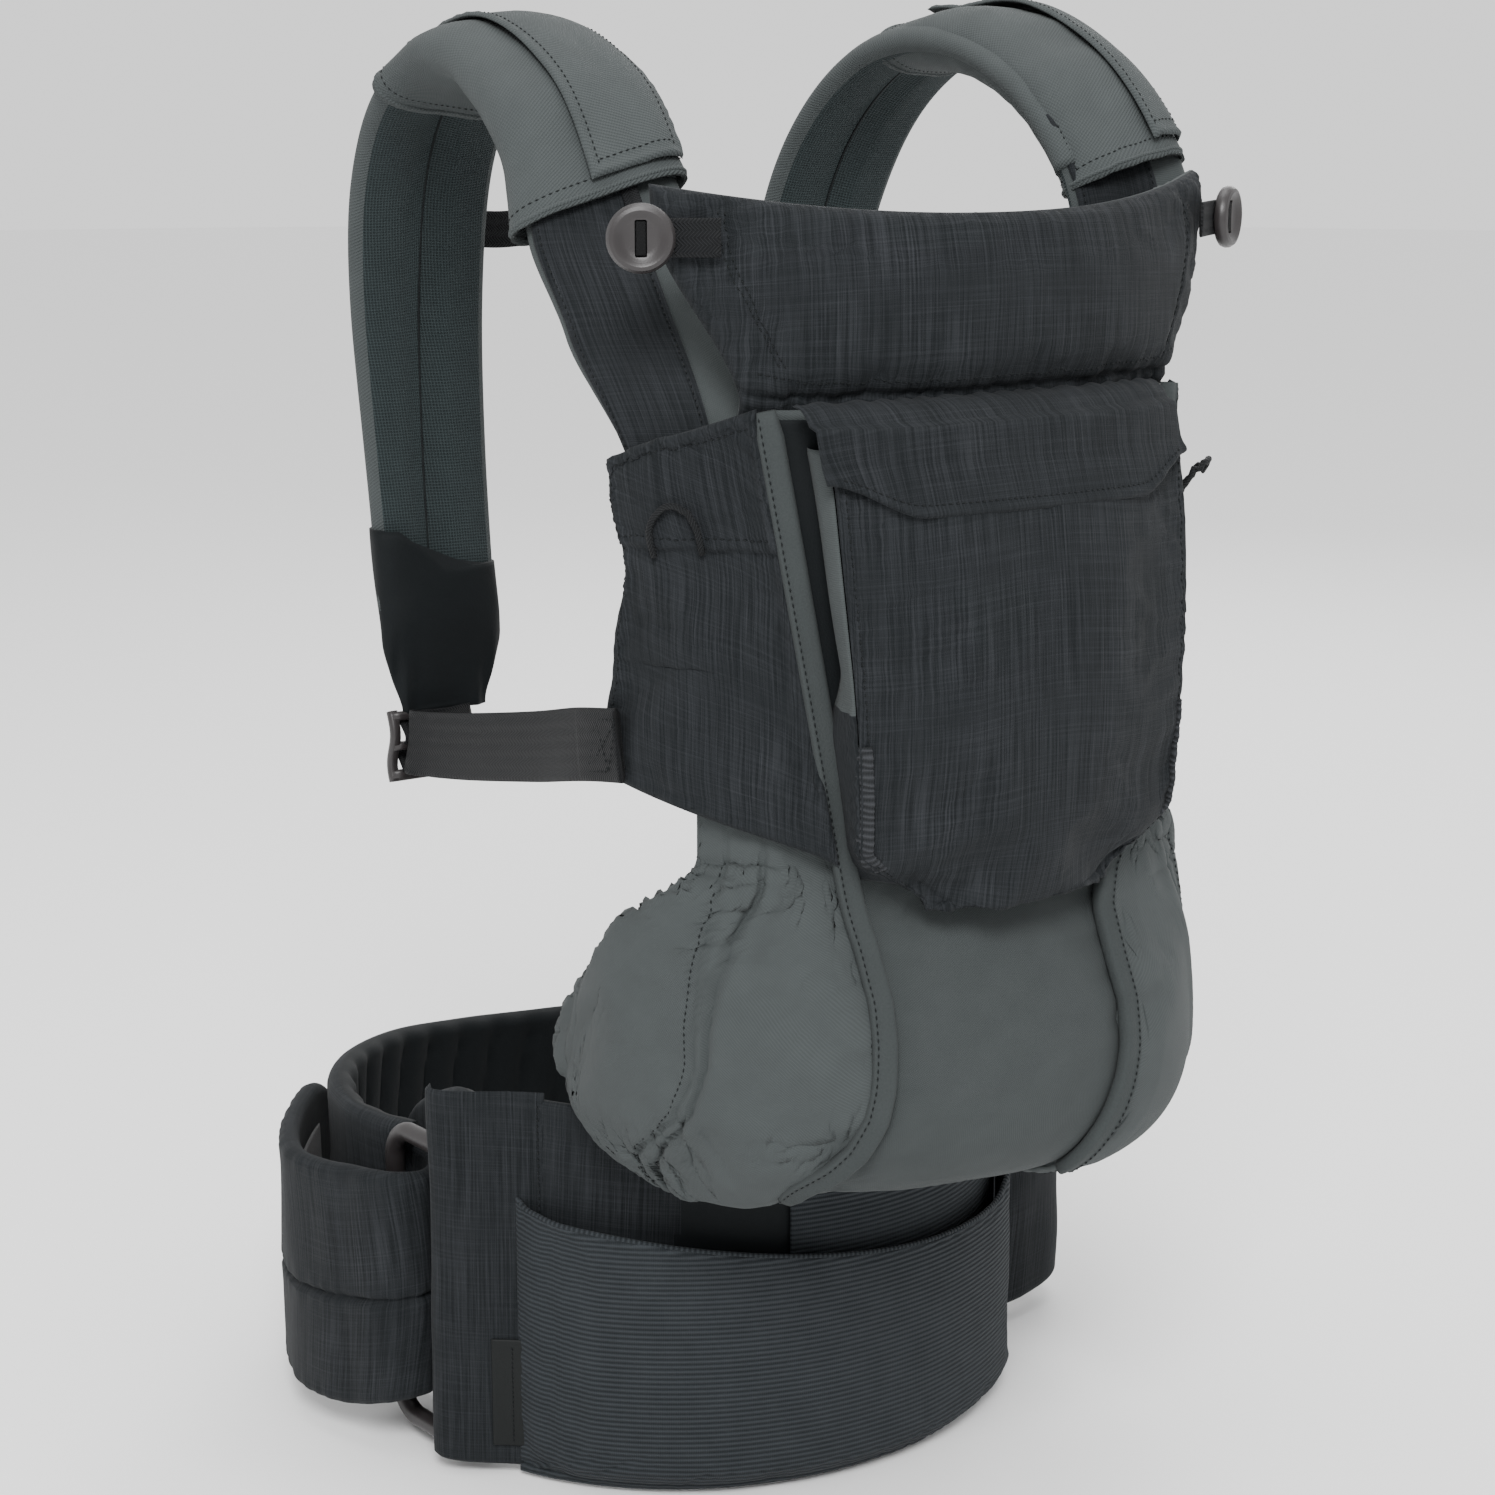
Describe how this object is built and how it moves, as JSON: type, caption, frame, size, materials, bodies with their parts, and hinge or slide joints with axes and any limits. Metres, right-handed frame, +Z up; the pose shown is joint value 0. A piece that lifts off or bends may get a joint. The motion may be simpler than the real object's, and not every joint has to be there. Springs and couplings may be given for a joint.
{
  "type": "baby carrier backpack",
  "caption": "Soft child carrier with padded waist belt, bucket seat, front stow pocket, fold-down headrest and padded shoulder straps joined behind the wearer.",
  "frame": {"origin": "centre of the waist-belt loop at the belt's middle height, where the wearer's waist is", "axes": "+X across the carrier to the viewer's right, +Y from the front pocket toward the wearer's back, +Z up"},
  "size_m": [0.4402, 0.5017, 0.718],
  "materials": {
    "grey_knit": "fine diagonal knit",
    "dark_heather": "slubbed ripstop weave",
    "black_lining": "smooth lining",
    "stretch_knit": "horizontally ribbed stretch knit",
    "spacer_mesh": "spacer mesh",
    "webbing": "woven webbing",
    "acetal": "moulded acetal",
    "foam": "closed-cell foam core",
    "elastic": "elastic cord",
    "hook_tape": "hook tape",
    "label": "blank woven label"
  },
  "bodies": {
    "carrier": {"adjuster_web_left": "webbing", "adjuster_web_right": "webbing", "belt_fold": "dark_heather", "belt_front_foam": "foam", "belt_front_lining": "black_lining", "belt_front_panel": "dark_heather", "belt_pocket_divider": "stretch_knit", "belt_ring": "acetal", "belt_ring_tab": "dark_heather", "belt_stretch_pocket": "stretch_knit", "belt_wing_cover": "dark_heather", "belt_wing_foam": "foam", "belt_wing_lining": "black_lining", "binding_left": "grey_knit", "binding_right": "grey_knit", "body_inner_mesh": "spacer_mesh", "body_panel": "grey_knit", "elastic_loop_left": "elastic", "elastic_loop_right": "elastic", "pocket_front": "dark_heather", "pocket_gusset_left": "grey_knit", "pocket_gusset_right": "grey_knit", "seat_centre_panel": "grey_knit", "seat_pad_left": "grey_knit", "seat_pad_right": "grey_knit", "side_label": "label", "side_panel_left": "dark_heather", "side_panel_right": "dark_heather", "sleeve_flap_left": "grey_knit", "sleeve_flap_right": "grey_knit", "strap_cover_left": "grey_knit", "strap_cover_right": "grey_knit", "strap_end_left": "black_lining", "strap_end_right": "black_lining", "strap_foam_left": "foam", "strap_foam_right": "foam", "strap_front_left": "dark_heather", "strap_front_right": "dark_heather", "strap_mesh_left": "spacer_mesh", "strap_mesh_right": "spacer_mesh", "strap_sleeve_left": "grey_knit", "strap_sleeve_right": "grey_knit"},
    "headrest": {"headrest_cover": "dark_heather", "headrest_foam": "foam", "headrest_lining": "grey_knit", "headrest_tab_left": "webbing", "headrest_button_left": "acetal", "headrest_tab_right": "webbing", "headrest_button_right": "acetal"},
    "pocket_flap": {"pocket_flap": "dark_heather"},
    "belt_tail": {"belt_tail": "dark_heather", "tail_hook_patch": "hook_tape"},
    "ladder_lock_left": {"ladder_lock_left": "acetal"},
    "ladder_lock_right": {"ladder_lock_right": "acetal"},
    "cross_strap": {"cross_buckle_socket": "acetal", "cross_web_left": "webbing", "cross_slider_left": "acetal", "cross_slider_right": "acetal"},
    "cross_plug": {"cross_buckle_plug": "acetal", "cross_web_right": "webbing"}
  },
  "joints": [
    {"name": "headrest_fold", "type": "hinge", "parent": "carrier", "child": "headrest", "pos_m": [0, -0.293, 0.4475], "axis": [1, 0, 0], "range_deg": [0, 70]},
    {"name": "pocket_flap_lift", "type": "hinge", "parent": "carrier", "child": "pocket_flap", "pos_m": [0, -0.296, 0.438], "axis": [-1, 0, 0], "range_deg": [0, 50]},
    {"name": "belt_tail_peel", "type": "hinge", "parent": "carrier", "child": "belt_tail", "pos_m": [-0.2168, -0.0365, 0], "axis": [0, 0, 1], "range_deg": [0, 60]},
    {"name": "ladder_lock_tilt_left", "type": "hinge", "parent": "carrier", "child": "ladder_lock_left", "pos_m": [-0.128, 0.025, 0.262], "axis": [1, 0, 0], "range_deg": [0, 30]},
    {"name": "ladder_lock_tilt_right", "type": "hinge", "parent": "carrier", "child": "ladder_lock_right", "pos_m": [0.128, 0.025, 0.262], "axis": [1, 0, 0], "range_deg": [0, 30]},
    {"name": "cross_strap_height", "type": "slide", "parent": "carrier", "child": "cross_strap", "axis": [0, 0, 1], "range_m": [-0.03, 0.02]},
    {"name": "cross_buckle_release", "type": "slide", "parent": "cross_strap", "child": "cross_plug", "axis": [1, 0, 0], "range_m": [0, 0.022]}
  ]
}
